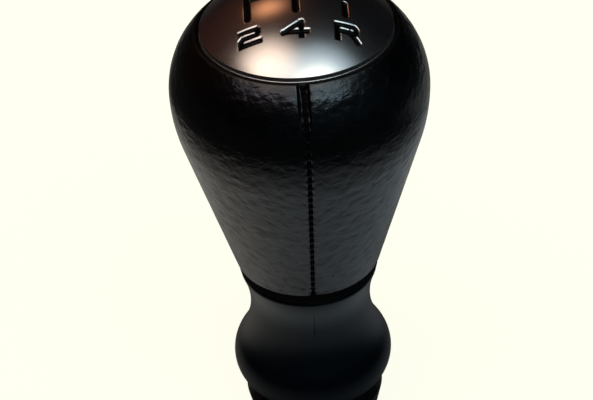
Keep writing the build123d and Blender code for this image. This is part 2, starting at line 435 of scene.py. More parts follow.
hem_lift = np.exp(-((from_seam / hem_notch_w) ** 2)) * (1 - above_hem)
points[..., 1] += hem_notch * hem_lift * skin[None]
leather = turned_shell("leather_cover_skin", points, angle)
leather.data.set_sharp_from_angle(angle=math.radians(60))
# Cut and turned-in edges, kept with the seam and the strip's grooves: partly the duller cut leather,
# partly painted shade in the grooves
raw_and_shaded_grooves = np.maximum.reduce([seam, strip_lines, 0.4 * sunk, np.repeat(1 - skin[None], len(angles), 0)])
store(leather.data, "raw_edge_and_groove_shade", raw_and_shaded_grooves)
store(leather.data, "creased", ease(down, creased_from, creased_to))

leather_finish, leather_surface, place = new_finish("leather_finish", {"IOR": 1.5})
raw_and_groove_shade = place.node("ShaderNodeAttribute", {"attribute_name": "raw_edge_and_groove_shade"}, {}, 2)
creased_share = place.node("ShaderNodeAttribute", {"attribute_name": "creased"}, {}, 2)
mottle = speckle(place, mottle_size, (0.75, 0.75, 1), 1.0)
crinkle = speckle(place, crinkle_size, (0.8, 0.8, 1)) * (0.62 - 0.56 * creased_share)
drift = place.node("ShaderNodeTexNoise", {}, {"Vector": place, "Scale": 1 / crease_drift}, 1)
drifted = drift.vector("MULTIPLY_ADD", (crease_wander, crease_wander, crease_wander), place)
aside = abs(place.axis(0))
slanted = drifted.vector("ADD", place.combine(Z=-crease_slant * aside))
folds = speckle(slanted, crease_size, (crease_stretch, crease_stretch, 1), 1.0)
folds = ramp(folds, 0.42, 0.72) * creased_share
patches = speckle(place, patch_size)
two_tone(ramp(patches, 0.35, 0.75), leather_black, leather_worn).feed(leather_surface, "Base Color")
shine = 0.18 + 0.06 * mottle + 0.05 * patches + 0.3 * raw_and_groove_shade
shine.feed(leather_surface, "Roughness")
grain = mottle + crinkle - 0.3 * folds
raise_relief(leather_surface, grain, grain_h)
cut_and_shade_look = {"Base Color": cut_and_shade_black, "Roughness": 0.7, "Specular IOR Level": 0.08}


def dull_over(finish, surface, share, look):
    """Mix a second, duller surface into a finish by that share."""
    dull = share.node("ShaderNodeBsdfPrincipled", {}, look)
    mixed = share.node("ShaderNodeMixShader", {}, {0: share, 1: Wire(surface.outputs[0]), 2: dull})
    mixed.feed(finish.node_tree.nodes["Material Output"], "Surface")


# The duller, darker mix paints shade into the seam, the strip's grooves, the turned-in edges and the
# creases, over the duller look of cut leather
raw_and_shade_part = ramp(raw_and_groove_shade, 0.25, 0.75) + crease_shade_dull * folds
dull_over(leather_finish, leather_surface, raw_and_shade_part, cut_and_shade_look)
leather.data.materials.append(leather_finish)
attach(leather, "root")
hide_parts("leather_cover")

# Seam thread: waxed black thread that draws the leather's two ends together, one stitch after
# another across the butt seam and on up the open strip near the cap, where they sit deeper.
thread_r = 0.15
sewn_from = 1.0
sewn_clear = 1.5
stitch_reach = 0.3
stitch_uneven = 0.12
stitch_rise = 0.1
stitch_sunk = 0.3
stitch_turn = 0.4
stitch_drop = 0.1
stitch_seed = 7
twist_size = 0.5 * mm
thread_black = (0.002, 0.002, 0.0022, 1)
thread_light = (0.005, 0.005, 0.0055, 1)

thread_finish, thread_surface, place = new_finish("thread_finish", {"Specular IOR Level": 0.25})
twisted = {"Vector": place, "Scale": 1 / twist_size}
twist = place.node("ShaderNodeTexWave", {"bands_direction": "DIAGONAL"}, twisted)
two_tone(twist, thread_black, thread_light).feed(thread_surface, "Base Color")
(0.4 + 0.2 * twist).feed(thread_surface, "Roughness")
raise_relief(thread_surface, twist, 0.03 * mm)


def new_tree(name, taken, sizes, result):
    """Start a node tree that takes one geometry and named sizes; give its wires and size values too."""
    tree = bpy.data.node_groups.new(name, "GeometryNodeTree")
    face = tree.interface
    face.new_socket(taken, in_out="INPUT", socket_type="NodeSocketGeometry")
    values = []
    for size_name, size in sizes.items():
        kind = "NodeSocketInt" if isinstance(size, int) else "NodeSocketFloat"
        socket = face.new_socket(size_name, in_out="INPUT", socket_type=kind)
        values.append((socket.identifier, size))
    face.new_socket(result, in_out="OUTPUT", socket_type="NodeSocketGeometry")
    given = tree.nodes.new("NodeGroupInput")
    return tree, {socket.name: Wire(socket) for socket in given.outputs}, values


stitch_sizes = {
    "Thread radius": thread_r * mm,
    "Stitch rise": stitch_rise * mm,
    "Stitch end depth": stitch_sunk * mm,
    "Stitch turn": stitch_turn,
    "Seed": stitch_seed,
}
stitch_tree, wire, stitch_values = new_tree("seam_stitches", "Seam points", stitch_sizes, "Stitches")
reach = wire["Seed"].node("GeometryNodeInputNamedAttribute", {"data_type": "FLOAT"}, {"Name": "reach"})
facing = reach.node("GeometryNodeInputNamedAttribute", {"data_type": "FLOAT_VECTOR"}, {"Name": "facing"})
along = reach.node("GeometryNodeInputNamedAttribute", {"data_type": "FLOAT_VECTOR"}, {"Name": "along"})
end_low = reach.combine(X=-1 * mm, Z=-1 * wire["Stitch end depth"])
end_high = reach.combine(X=1 * mm, Z=-1 * wire["Stitch end depth"])
crown = reach.combine(Z=2 * wire["Stitch rise"] + wire["Stitch end depth"])
bow = reach.node(
    "GeometryNodeCurveQuadraticBezier",
    {},
    {"Resolution": 10, "Start": end_low, "Middle": crown, "End": end_high},
)
strand_size = {"Resolution": 8, "Radius": wire["Thread radius"]}
strand = reach.node("GeometryNodeCurvePrimitiveCircle", {}, strand_size)
drawn = {"Curve": bow, "Profile Curve": strand, "Fill Caps": True}
stitch = reach.node("GeometryNodeCurveToMesh", {}, drawn)
stand = reach.node(
    "FunctionNodeAxesToRotation",
    {"primary_axis": "Z", "secondary_axis": "Y"},
    {"Primary Axis": facing, "Secondary Axis": along},
)
size = reach.combine(X=reach, Y=1.0, Z=1.0)
sewn = reach.node(
    "GeometryNodeInstanceOnPoints",
    {},
    {"Points": wire["Seam points"], "Instance": stitch, "Rotation": stand, "Scale": size},
)
slant = reach.node(
    "FunctionNodeRandomValue",
    {"data_type": "FLOAT"},
    {2: -1 * wire["Stitch turn"], 3: wire["Stitch turn"], "Seed": wire["Seed"]},
    1,
)
turning = {"Instances": sewn, "Rotation": reach.combine(Z=slant)}
turned = reach.node("GeometryNodeRotateInstances", {}, turning)
real = reach.node("GeometryNodeRealizeInstances", {}, {"Geometry": turned})
smooth = reach.node("GeometryNodeSetShadeSmooth", {}, {"Geometry": real})
waxed = reach.node("GeometryNodeSetMaterial", {}, {"Geometry": smooth, "Material": thread_finish})
waxed.feed(stitch_tree.nodes.new("NodeGroupOutput"), "Stitches")

seam_rows = np.arange(len(outline))[(below_crest > sewn_from) & (outline[:, 1] > hem_z + sewn_clear)]
seam_rows = seam_rows[seam_rows < crest_row]
seam_down = below_crest[seam_rows][::-1]
stitch_at = np.arange(stitch_start, seam_down[-1], stitch_pitch)


def at_stitches(values):
    """Read values that run along the outline where the stitches are."""
    return np.interp(stitch_at, seam_down, values[seam_rows][::-1])


stitch_r, stitch_z, stitch_out_r, stitch_out_z = map(at_stitches, (*outline.T, *outward.T))
nothing = np.zeros_like(stitch_at)
uneven = np.random.default_rng(stitch_seed).uniform(-1, 1, (2, len(stitch_at)))
sunk_by = stitch_drop + strip_sunk * (1 - ease(stitch_at, strip_from, strip_to))
stitch_aside = 0.5 * stitch_uneven * uneven[0]
stitch_back = sunk_by * stitch_out_r - stitch_r
stitch_up = stitch_z - sunk_by * stitch_out_z
stitch_place = np.stack([stitch_aside, stitch_back, stitch_up], 1)
thread_mesh = bpy.data.meshes.new("seam_points")
thread_mesh.from_pydata((stitch_place * mm).tolist(), [], [])
direction = ("FLOAT_VECTOR", "vector")
store(thread_mesh, "reach", stitch_reach + stitch_uneven * uneven[1])
store(thread_mesh, "facing", np.stack([nothing, -stitch_out_r, stitch_out_z], 1), *direction)
store(thread_mesh, "along", np.stack([nothing, stitch_out_z, stitch_out_r], 1), *direction)
thread = put("seam_points", thread_mesh)


def grow(piece, tree, sizes):
    """Run a node tree on a piece with its sizes set, and keep the result as a plain mesh."""
    maker = piece.modifiers.new("maker", "NODES")
    maker.node_group = tree
    for identifier, value in sizes:
        maker[identifier] = value
    seen = piece.evaluated_get(bpy.context.evaluated_depsgraph_get())
    made = bpy.data.meshes.new_from_object(seen)
    piece.modifiers.remove(maker)
    piece.data = made


grow(thread, stitch_tree, stitch_values)
thread.name = "seam_thread"
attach(thread, "root")

# Pattern cap: a domed disc in satin metal-plated plastic with a fine bead round its edge, and the
# shift pattern cut into it as rounded grooves that are filled with gloss black paint. A skirt
# stands on the core's ledge and three snap legs hold it.
_, cap_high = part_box("pattern_cap")
dome_arc_r = 27.5
dome_c_z = cap_high.z / mm - dome_arc_r
cap_face_r = 18.0
cap_r = cap_high.x / mm
face_z = dome_c_z + math.sqrt(dome_arc_r**2 - cap_face_r**2)
skirt_h = 8.0
skirt_wall = 1.4
cap_t = 1.8
skirt_z = face_z - skirt_h
skirt_r = cap_r - skirt_wall
under_arc_r = dome_arc_r - cap_t
face_edge_r = 18.24
wall_r = 18.25
bead_drop = 1.2
bead_round = 0.14
bead_step = 0.03
rim_rough = 0.14
dome_turns = 240
figure_turn = math.radians(-1.4)
column_x = 8.95
bar_half_w = 0.6
figure_half_w = 0.53
figure_corner = 0.12
gate_z = -0.3
gate_end = 5.58
lip_r = 0.28
lip_start = 0.19
lip_share = 0.87
paint_edge = -0.06
groove_depth = 0.45
groove_wall = 0.24
groove_levels = (0.42, lip_start, 0.14, 0.07, 0.0, paint_edge, -0.13, -0.2, -0.28, -0.36)
corner_round = 0.55
corner_dots = 7
fill_step = 0.8
fill_rim = 0.3
fill_clear = 0.6
under_rings = (14.0, 10.0, 6.0, 2.5)
leg_half_w = 2.5
leg_in_r = 14.9
leg_out_r = 16.2
leg_top_z = 98.5
leg_low_z = 86.64
catch_r = 17.0
catch_z = 88.54
catch_low_z = 87.24
satin_grain_size = 0.12 * mm
satin_cloud_size = 5 * mm
paint_flow_size = 1.2 * mm
satin_dark = (0.50, 0.49, 0.48, 1)
satin_light = (0.58, 0.57, 0.56, 1)
paint_black = (0.0015, 0.0015, 0.0015, 1)


def bend(centre, start_deg, end_deg):
    """A rounded corner of a figure's stroke, as short pieces of stroke."""
    dots = []
    for turn in np.radians(np.linspace(start_deg, end_deg, corner_dots)):
        off = (corner_round * math.cos(turn), corner_round * math.sin(turn))
        dots.append((centre[0] + off[0], centre[1] + off[1]))
    return [(*a, *b) for a, b in zip(dots, dots[1:])]


# Each figure is a list of strokes from point to point, in mm about its own middle
two = [(-1.6, 1.33, 0.95, 1.33), (1.5, 0.78, 1.5, 0.6), (0.95, 0.05, -1.1, 0.05)]
two += [(-1.65, -0.5, -1.65, -1.33), (-1.65, -1.33, 1.72, -1.33)]
two += bend((0.95, 0.78), 90, 0) + bend((0.95, 0.6), 0, -90) + bend((-1.1, -0.5), 90, 180)
four = [(-2.05, -0.75, 1.13, 1.25), (1.13, 1.25, 1.1, -1.54), (-2.05, -0.75, 2.11, -0.75)]
reverse = [(-1.72, 1.35, -1.72, -1.5), (-1.72, 1.35, 1.2, 1.35), (1.75, 0.8, 1.75, 0.6)]
reverse += [(1.2, 0.05, -1.72, 0.05), (0.55, 0.05, 1.8, -1.52)]
reverse += bend((1.2, 0.8), 90, 0) + bend((1.2, 0.6), 0, -90)
one = [(0.3, 1.4, 0.3, -1.4), (0.3, 1.4, -0.8, 0.7)]
three = [(-1.6, 1.38, 0.95, 1.38), (1.5, 0.83, 1.5, 0.6), (0.95, 0.05, -1.0, 0.05)]
three += [(1.5, -0.5, 1.5, -0.83), (0.95, -1.38, -1.6, -1.38)]
three += bend((0.95, 0.83), 90, 0) + bend((0.95, 0.6), 0, -90) + bend((0.95, -0.5), 90, 0)
three += bend((0.95, -0.83), 0, -90)
five = [(1.6, 1.38, -1.6, 1.38), (-1.6, 1.38, -1.6, 0.1), (-1.6, 0.1, 0.95, 0.1)]
five += [(1.5, -0.45, 1.5, -0.83), (0.95, -1.38, -1.6, -1.38)]
five += bend((0.95, -0.45), 90, 0) + bend((0.95, -0.83), 0, -90)
bars = [(-column_x, gate_end, -column_x, -gate_end), (0, gate_end, 0, -gate_end)]
bars += [(column_x, gate_end, column_x, gate_z), (column_x, -2.55, column_x, -gate_end - 0.25)]
bars += [(-column_x, gate_z, column_x, gate_z)]
strokes = [(*bar, bar_half_w, bar_half_w) for bar in bars]
for figure, middle_x, middle_y in (
    (one, -column_x, 9.5),
    (three, 0, 9.6),
    (five, column_x, 9.5),
    (two, -column_x + 0.23, -9.5),
    (four, -0.38, -9.6),
    (reverse, column_x + 0.03, -9.58),
):
    for x0, y0, x1, y1 in figure:
        straight = math.dist((x0, y0), (x1, y1)) > corner_round
        rounding = figure_corner if straight else figure_half_w
        ends = (middle_x + x0, middle_y + y0, middle_x + x1, middle_y + y1)
        strokes.append((*ends, figure_half_w, rounding))


def from_figures(spots):
    """Distance from each spot on the cap, in plan, to the nearest stroke's edge; inside is below 0."""
    cos, sin = math.cos(figure_turn), math.sin(figure_turn)
    spots = np.stack([spots[:, 0] * cos + spots[:, 1] * sin, spots[:, 1] * cos - spots[:, 0] * sin], 1)
    nearest = np.full(len(spots), 1e9)
    for x0, y0, x1, y1, half_w, rounding in strokes:
        length = math.dist((x0, y0), (x1, y1))
        way = np.array([(x1 - x0) / length, (y1 - y0) / length])
        off = spots - np.array([(x0 + x1) / 2, (y0 + y1) / 2])
        over = np.abs(off @ way) - length / 2 - half_w + rounding
        aside = np.abs(off @ np.array([-way[1], way[0]])) - half_w + rounding
        outer = np.hypot(np.maximum(over, 0), np.maximum(aside, 0))
        nearest = np.minimum(nearest, outer + np.minimum(np.maximum(over, aside), 0) - rounding)
    return nearest


def groove(edge):
    """Depth of the groove at a distance from the stroke's edge: rounded lip, wall, dished floor."""
    lip_x = np.clip(lip_start - edge, 0, lip_r * lip_share)
    lip_drop = lip_r - np.sqrt(lip_r**2 - lip_x**2)
    lip_low = lip_r * (1 - math.sqrt(1 - lip_share**2))
    below = ease(paint_edge - edge, 0, groove_wall)
    return lip_drop + (groove_depth - lip_low) * below


def dome_height(spots):
    """Height of the cap's face at each spot, grooves and all."""
    dome = np.sqrt(dome_arc_r**2 - np.sum(spots**2, 1))
    return dome_c_z + dome - groove(from_figures(spots))


# Lines of equal distance from the strokes become edges of the mesh, so that the lips are crisp
grid_step = 0.14
grid_half = 13.6
ticks = np.arange(-grid_half, grid_half, grid_step)
grid_x, grid_y = np.meshgrid(ticks, ticks, indexing="ij")
edge_map = from_figures(np.stack([grid_x.ravel(), grid_y.ravel()], 1)).reshape(grid_x.shape)
spots = []
edges = []
count = 0
for level in groove_levels:
    map_off = edge_map - level + 1e-7
    ids = []
    for axis in (0, 1):
        here = map_off[:-1] if axis == 0 else map_off[:, :-1]
        there = map_off[1:] if axis == 0 else map_off[:, 1:]
        cut = (here > 0) != (there > 0)
        share = here[cut] / (here[cut] - there[cut])
        i, j = np.nonzero(cut)
        x = ticks[i] + (grid_step * share if axis == 0 else 0)
        y = ticks[j] + (grid_step * share if axis == 1 else 0)
        spots.append(np.stack([x, y], 1))
        number = np.full(cut.shape, -1)
        number[cut] = count + np.arange(len(i))
        count += len(i)
        ids.append(number)
    sides = np.stack([ids[0][:, :-1], ids[1][1:], ids[0][:, 1:], ids[1][:-1]], 2).reshape(-1, 4)
    for cell in sides[(sides >= 0).sum(1) >= 2]:
        met = cell[cell >= 0]
        edges.append((met[0], met[1]))
        if len(met) == 4:
            edges.append((met[2], met[3]))
rim_turn = math.tau * np.arange(dome_turns) / dome_turns
rim_at = count
spots.append(face_edge_r * np.stack([np.sin(rim_turn), -np.cos(rim_turn)], 1))
edges += [(rim_at + i, rim_at + (i + 1) % dome_turns) for i in range(dome_turns)]
for ring_r in np.arange(fill_step, face_edge_r - fill_rim, fill_step):
    ring_dots = round(math.tau * ring_r / fill_step)
    ring_turn = math.tau * np.arange(ring_dots) / ring_dots
    ring = ring_r * np.stack([np.sin(ring_turn), np.cos(ring_turn)], 1)
    spots.append(ring[from_figures(ring) > fill_clear])
spots = np.concatenate(spots)
laid = geometry.delaunay_2d_cdt(spots.tolist(), [tuple(map(int, e)) for e in edges], [], 0, 0.004)
flat = np.array(laid[0])
rim_of = {}
for new, old in enumerate(laid[3]):
    for number in old:
        if rim_at <= number < rim_at + dome_turns:
            rim_of[number - rim_at] = new
dome_points = np.column_stack([flat, dome_height(flat)])
cap_points = dome_points.tolist()
cap_faces = [list(face) for face in laid[2]]
middle = flat[np.array(cap_faces)].mean(1)
painted = from_figures(middle) < paint_edge
dome_faces = len(cap_faces)
bead_c = (cap_r - bead_round, face_z - bead_drop)
bead = arc_points(bead_c, bead_round, 110, 0, bead_step)
rim_section = [(wall_r, bead_c[1] + bead_round), *bead.tolist(), (cap_r, skirt_z)]
rim_section += [(skirt_r, skirt_z), (skirt_r, dome_c_z + math.sqrt(under_arc_r**2 - skirt_r**2))]
rim_section += [(r, dome_c_z + math.sqrt(under_arc_r**2 - r**2)) for r in under_rings]
ring = [rim_of[i] for i in range(dome_turns)]
for radius, ring_z in rim_section:
    start = len(cap_points)
    cap_points += np.column_stack(
        [radius * np.sin(rim_turn), -radius * np.cos(rim_turn), np.full(dome_turns, ring_z)]
    ).tolist()
    lower = [start + i for i in range(dome_turns)]
    for i in range(dome_turns):
        beside = (i + 1) % dome_turns
        cap_faces.append([ring[i], lower[i], lower[beside], ring[beside]])
    ring = lower
cap_points.append([0, 0, dome_c_z + under_arc_r])
cap_faces += [[ring[i], len(cap_points) - 1, ring[(i + 1) % dome_turns]] for i in range(dome_turns)]
leg_section = [(leg_in_r, leg_top_z), (leg_out_r, leg_top_z), (leg_out_r, catch_z), (catch_r, catch_z)]
leg_section += [(leg_out_r, catch_low_z), (leg_out_r, leg_low_z), (leg_in_r, leg_low_z)]
for turn in range(3):
    side = math.tau * turn / 3
    for half in (-leg_half_w, leg_half_w):
        for radius, leg_z in leg_section:
            x = radius * math.sin(side) + half * math.cos(side)
            y = half * math.sin(side) - radius * math.cos(side)
            cap_points.append([x, y, leg_z])
    start = len(cap_points) - 2 * len(leg_section)
    near = [start + i for i in range(len(leg_section))]
    far = [i + len(leg_section) for i in near]
    cap_faces.append(near)
    cap_faces.append(far[::-1])
    for i in range(len(leg_section)):
        after = (i + 1) % len(leg_section)
        cap_faces.append([near[after], near[i], far[i], far[after]])
cap_mesh = bpy.data.meshes.new("pattern_cap_face")
cap_mesh.from_pydata((np.array(cap_points) * mm).tolist(), [], cap_faces)
cap_mesh.shade_smooth()
cap_mesh.set_sharp_from_angle(angle=math.radians(30))
small = 0.01
tilt_x = (dome_height(flat + [small, 0]) - dome_height(flat - [small, 0])) / (2 * small)
tilt_y = (dome_height(flat + [0, small]) - dome_height(flat - [0, small])) / (2 * small)
dome_normals = np.column_stack([-tilt_x, -tilt_y, np.ones(len(flat))])
dome_normals /= np.linalg.norm(dome_normals, axis=1)[:, None]
normals = np.empty(len(cap_mesh.loops) * 3, np.float32)
cap_mesh.corner_normals.foreach_get("vector", normals)
normals = normals.reshape(-1, 3)
normals[: dome_faces * 3] = dome_normals[np.array(cap_faces[:dome_faces]).ravel()]
cap_mesh.normals_split_custom_set(normals.tolist())

satin_finish, satin_surface, place = new_finish("satin_finish", {"Metallic": 1.0})
satin_grain = speckle(place, satin_grain_size)
satin_cloud = speckle(place, satin_cloud_size)
two_tone(satin_cloud, satin_dark, satin_light).feed(satin_surface, "Base Color")
cap_reach = place.vector("MULTIPLY", (1, 1, 0)).vector("LENGTH", out=1)
rim_share = ramp(cap_reach, (face_edge_r - 0.02) * mm, face_edge_r * mm)
satin_shine = 0.2 + 0.05 * satin_grain + 0.04 * satin_cloud + rim_rough * rim_share
satin_shine.feed(satin_surface, "Roughness")
raise_relief(satin_surface, satin_grain, 0.004 * mm)
paint_look = {"Base Color": paint_black, "Specular IOR Level": 0.12}
paint_finish, paint_surface, place = new_finish("paint_finish", paint_look)
paint_flow = speckle(place, paint_flow_size)
(0.1 + 0.1 * paint_flow).feed(paint_surface, "Roughness")
raise_relief(paint_surface, paint_flow, 0.02 * mm)
cap = put("pattern_cap_face", cap_mesh)
cap_mesh.materials.append(satin_finish)
cap_mesh.materials.append(paint_finish)
finish_index = np.zeros(len(cap_mesh.polygons), np.int32)
finish_index[:dome_faces][painted] = 1
cap_mesh.polygons.foreach_set("material_index", finish_index)
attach(cap, "root")
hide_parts("pattern_cap")

# Hem ring: a flat trim ring of black plastic that covers the turned-in hem, set back from it so
# that a dark gap shows under the leather; its near-black, barely reflective finish also paints the
# shade of that gap. The imported solid has its shape.
trim_and_shade_black = (0.0012, 0.0012, 0.0012, 1)
trim_dust = (0.003, 0.003, 0.003, 1)
dress(
    "hem_ring",
    "trim_shade_finish",
    {"Specular IOR Level": 0.06},
    size=0.6 * mm,
    patch=(0.5, 0.8),
    tones=(trim_and_shade_black, trim_dust),
    rough=(0.8, 0.15),
    depth=0.015 * mm,
)

# Neck collar: one hollow moulding in satin black plastic that flows from the rounded edge under
# the hem ring through the neck to the bulb. Its spigot plugs into the core, and the mould's
# parting line shows as a fine ridge at front and back.
_, collar_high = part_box("neck_collar")
collar_top_z = 40.85
collar_top_r = 14.4
neck_r = 12.5
neck_z = 31.7
bulb_r = collar_high.x / mm
bulb_z = 17.0
bulb_arc_r = 7.25
collar_wall = 2.4
collar_lip_r = 12.4
spigot_r = 10.8
spigot_z = collar_high.z / mm
spigot_chamfer = 0.4
bore_r = 8.1
mouth_r = 10.9
collar_step = 0.6
collar_edge = 1.0
collar_edge_step = 0.1
collar_seat_z = 41.3
collar_turns = 256
ridge_h = 0.05
ridge_w = 0.16
collar_grain_size = 0.22 * mm
handled_size = 7 * mm
collar_black = (0.0004, 0.0017, 0.0034, 1)
collar_grey = (0.0022, 0.0031, 0.0044, 1)
# Painted shade: the collar turns duller and darker over the bulb, more at its lip, and at its top edge
# under the hem ring
bulb_shade_low = 31.0 * mm
bulb_shade_high = 37.5 * mm
bulb_painted_shade = 0.61
edge_painted_shade = 0.9
lip_painted_shade = 0.38
lip_shade_low = 20.0 * mm
lip_shade_high = 24.5 * mm
edge_shade_low = 39.3 * mm
edge_shade_high = 40.6 * mm
parting_in = 0.05 * mm
parting_out = 0.2 * mm
parting_low = 32.0 * mm
parting_high = 38.0 * mm
parting_fade = 2.0 * mm

bulb_c = (bulb_r - bulb_arc_r, bulb_z)
flare_out = collar_top_r - neck_r
flare_h = collar_top_z - neck_z
flare_arc_r = (flare_h**2 + flare_out**2) / (2 * flare_out)
flare_c = (neck_r + flare_arc_r, neck_z)
neck_in = neck_r - bulb_c[0]
neck_h = neck_z - bulb_z
neck_arc_r = (neck_in**2 + neck_h**2 - bulb_arc_r**2) / (2 * (bulb_r - neck_r))
neck_c = (neck_r + neck_arc_r, neck_z)
sway_deg = math.degrees(math.atan2(neck_h, neck_c[0] - bulb_c[0]))


def collar_side(inset, low_r, top_z, step):
    """The collar's side upwards, bulb, neck and flare, that far under the outside."""
    bulb_in = bulb_arc_r - inset
    low_deg = -math.degrees(math.acos((low_r - bulb_c[0]) / bulb_in))
    top_deg = math.degrees(math.asin((top_z - neck_z) / (flare_arc_r + inset)))
    bulb = arc_points(bulb_c, bulb_in, low_deg, sway_deg, step)
    neck = arc_points(neck_c, neck_arc_r + inset, 180 + sway_deg, 180, step)
    flare = arc_points(flare_c, flare_arc_r + inset, 180, 180 - top_deg, step)
    return np.concatenate([bulb, neck[1:], flare[1:]])


ceiling_z = collar_top_z - collar_wall
outside = collar_side(0, collar_lip_r, collar_top_z - collar_edge, collar_step)
inside = collar_side(collar_wall, mouth_r, ceiling_z, inner_step)[::-1]
lip_low_z = outside[0][1]
slope = math.asin((collar_top_z - collar_edge - neck_z) / flare_arc_r)
edge_c = outside[-1] - collar_edge * np.array([math.cos(slope), -math.sin(slope)])
top_edge = arc_points(edge_c, collar_edge, -math.degrees(slope), 90, collar_edge_step)[1:]
collar_line = np.concatenate(
    [
        outside,
        top_edge,
        [(edge_c[0], collar_seat_z), (spigot_r, collar_seat_z)],
        [(spigot_r, spigot_z - spigot_chamfer), (spigot_r - spigot_chamfer, spigot_z)],
        [(bore_r, spigot_z), (bore_r, ceiling_z)],
        inside,
        [(mouth_r, lip_low_z)],
    ]
)[::-1]
collar_mesh = bpy.data.meshes.new("collar_line")
sweep_r = 10.0
dot_count = len(collar_line)
collar_dots = np.column_stack([collar_line[:, 0] - sweep_r, -collar_line[:, 1], np.zeros(dot_count)])
collar_loop = [(i, (i + 1) % dot_count) for i in range(dot_count)]
collar_mesh.from_pydata((collar_dots * mm).tolist(), collar_loop, [])
collar = put("neck_collar_moulding", collar_mesh)

collar_look = {"Specular IOR Level": 0.57, "Specular Tint": (0.92, 0.98, 1.0, 1)}
collar_finish, collar_surface, place = new_finish("collar_finish", collar_look)
satin_skin = speckle(place, collar_grain_size)
handled = speckle(place, handled_size, (1, 1, 0.6), 3.0)
two_tone(ramp(handled, 0.35, 0.7), collar_black, collar_grey).feed(collar_surface, "Base Color")
(0.24 + 0.05 * satin_skin + 0.06 * handled).feed(collar_surface, "Roughness")
collar_up = place.axis(2)
parting = 1 - ramp(abs(place.axis(0)), parting_in, parting_out)
parting = parting * ramp(collar_up, parting_low - parting_fade, parting_low)
parting = parting * (1 - ramp(collar_up, parting_high - parting_fade, parting_high))
raise_relief(collar_surface, 0.3 * satin_skin - parting, 0.04 * mm)
# Painted shade mixed in by height, with the parting line dulled as well
shade_and_parting_share = bulb_painted_shade * (1 - ramp(collar_up, bulb_shade_low, bulb_shade_high))
shade_and_parting_share = shade_and_parting_share + lip_painted_shade * (1 - ramp(collar_up, lip_shade_low, lip_shade_high)) + 0.4 * parting
shade_and_parting_share = shade_and_parting_share + edge_painted_shade * ramp(collar_up, edge_shade_low, edge_shade_high)
shaded_dull_look = {"Base Color": collar_black, "Roughness": 0.28, "Specular IOR Level": 0.055}
dull_over(collar_finish, collar_surface, shade_and_parting_share, shaded_dull_look)

collar_sizes = {
    "Turns": collar_turns,
    "Sweep radius": sweep_r * mm,
    "Ridge height": ridge_h * mm,
    "Ridge width": ridge_w * mm,
    "Ridge reach": (bore_r + collar_wall) * mm,
}
collar_tree, wire, collar_values = new_tree("turned_collar", "Outline", collar_sizes, "Collar")
line = wire["Outline"]
section = line.node("GeometryNodeMeshToCurve", {}, {"Mesh": line})
round_axis = {"Resolution": wire["Turns"], "Radius": wire["Sweep radius"]}
path = line.node("GeometryNodeCurvePrimitiveCircle", {}, round_axis)
upright = line.node("GeometryNodeSetCurveNormal", {"mode": "Z_UP"}, {"Curve": path})
swept = line.node("GeometryNodeCurveToMesh", {}, {"Curve": upright, "Profile Curve": section})
spot = line.node("GeometryNodeInputPosition", {}, {})
level = spot.vector("MULTIPLY", (1, 1, 0))
reach_out = level.vector("LENGTH", out=1)
outside_only = reach_out.math("GREATER_THAN", reach_out, wire["Ridge reach"])
ridge = outside_only * wire["Ridge height"] / (1 + (spot.axis(0) / wire["Ridge width"]) ** 2)
pushed = {0: level.vector("NORMALIZE"), "Scale": ridge}
push = level.node("ShaderNodeVectorMath", {"operation": "SCALE"}, pushed)
ridged = line.node("GeometryNodeSetPosition", {}, {"Geometry": swept, "Offset": push})
rounded = line.node("GeometryNodeSetShadeSmooth", {}, {"Geometry": ridged})
whole = line.node("GeometryNodeRealizeInstances", {}, {"Geometry": rounded})
moulded = line.node("GeometryNodeSetMaterial", {}, {"Geometry": whole, "Material": collar_finish})
moulded.feed(collar_tree.nodes.new("NodeGroupOutput"), "Collar")
grow(collar, collar_tree, collar_values)
collar.data.set_sharp_from_angle(angle=math.radians(50))
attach(collar, "root")
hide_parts("neck_collar")

# Base ring: a tapered ring in gloss black plastic that plugs into the bulb's mouth and leaves a
# groove there for the gaiter's drawstring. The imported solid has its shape.
ring_black = (0.002, 0.002, 0.002, 1)
ring_scuff = (0.005, 0.005, 0.005, 1)
dress(
    "base_ring",
    "ring_finish",
    {"Specular IOR Level": 0.2},
    size=0.9 * mm,
    stretch=(1, 1, 0.25),
    patch=(0.5, 0.8),
    tones=(ring_black, ring_scuff),
    rough=(0.2, 0.15),
    depth=0.008 * mm,
)

# Floor: a pale cream sheet that runs on past the frame, evenly bright where it is seen straight on.
# Where the knob mirrors it, the floor glows with painted light though it is no lamp: a pool of light,
# warm to the left and cool to the right, with a bright band behind and a pale patch at the back right,
# painted shadow round the knob's foot and behind it, and the dark of the room further out painted
# as the floor's own colour.
floor_r = 3.0
floor_turns = 96
cream = (1.0, 1.0, 0.871, 1)
floor_pale = (0.82, 0.82, 0.76, 1)
floor_far_painted_dark = (0.012, 0.012, 0.013, 1)
pool_middle = (-2 * mm, 24 * mm, 0)
pool_in = 42 * mm
pool_out = 158 * mm
pool_warm = (0.575, 0.55, 0.495, 1)
pool_cool = (0.355, 0.435, 0.485, 1)
pool_tint_way = (0.8, -0.6)
pool_tint_half = 60 * mm
pool_tail = 0.04
pool_squeeze = 1.1
back_painted_light = (0.92, 0.90, 0.74, 1)
back_in = 72 * mm
back_out = 170 * mm
back_slant = 0.55
back_near = 90 * mm
back_far = 260 * mm
side_painted_light = (0.2, 0.2, 0.185, 1)
side_way = (0.6, 0.8)
side_in = 100 * mm
side_out = 170 * mm
side_near = 170 * mm
side_far = 310 * mm
painted_foot_shadow = (0.02, 0.02, 0.02, 1)
foot_in = 13 * mm
foot_out = 33 * mm
shade_middle = (4 * mm, 41 * mm, 0)
shade_in = 5 * mm
shade_out = 77 * mm
floor_glow = 0.945
fade_in = 250 * mm
fade_out = 700 * mm
shadow_share = 0.16
floor_mesh = bpy.data.meshes.new("floor")
floor_turn = math.tau * np.arange(floor_turns) / floor_turns
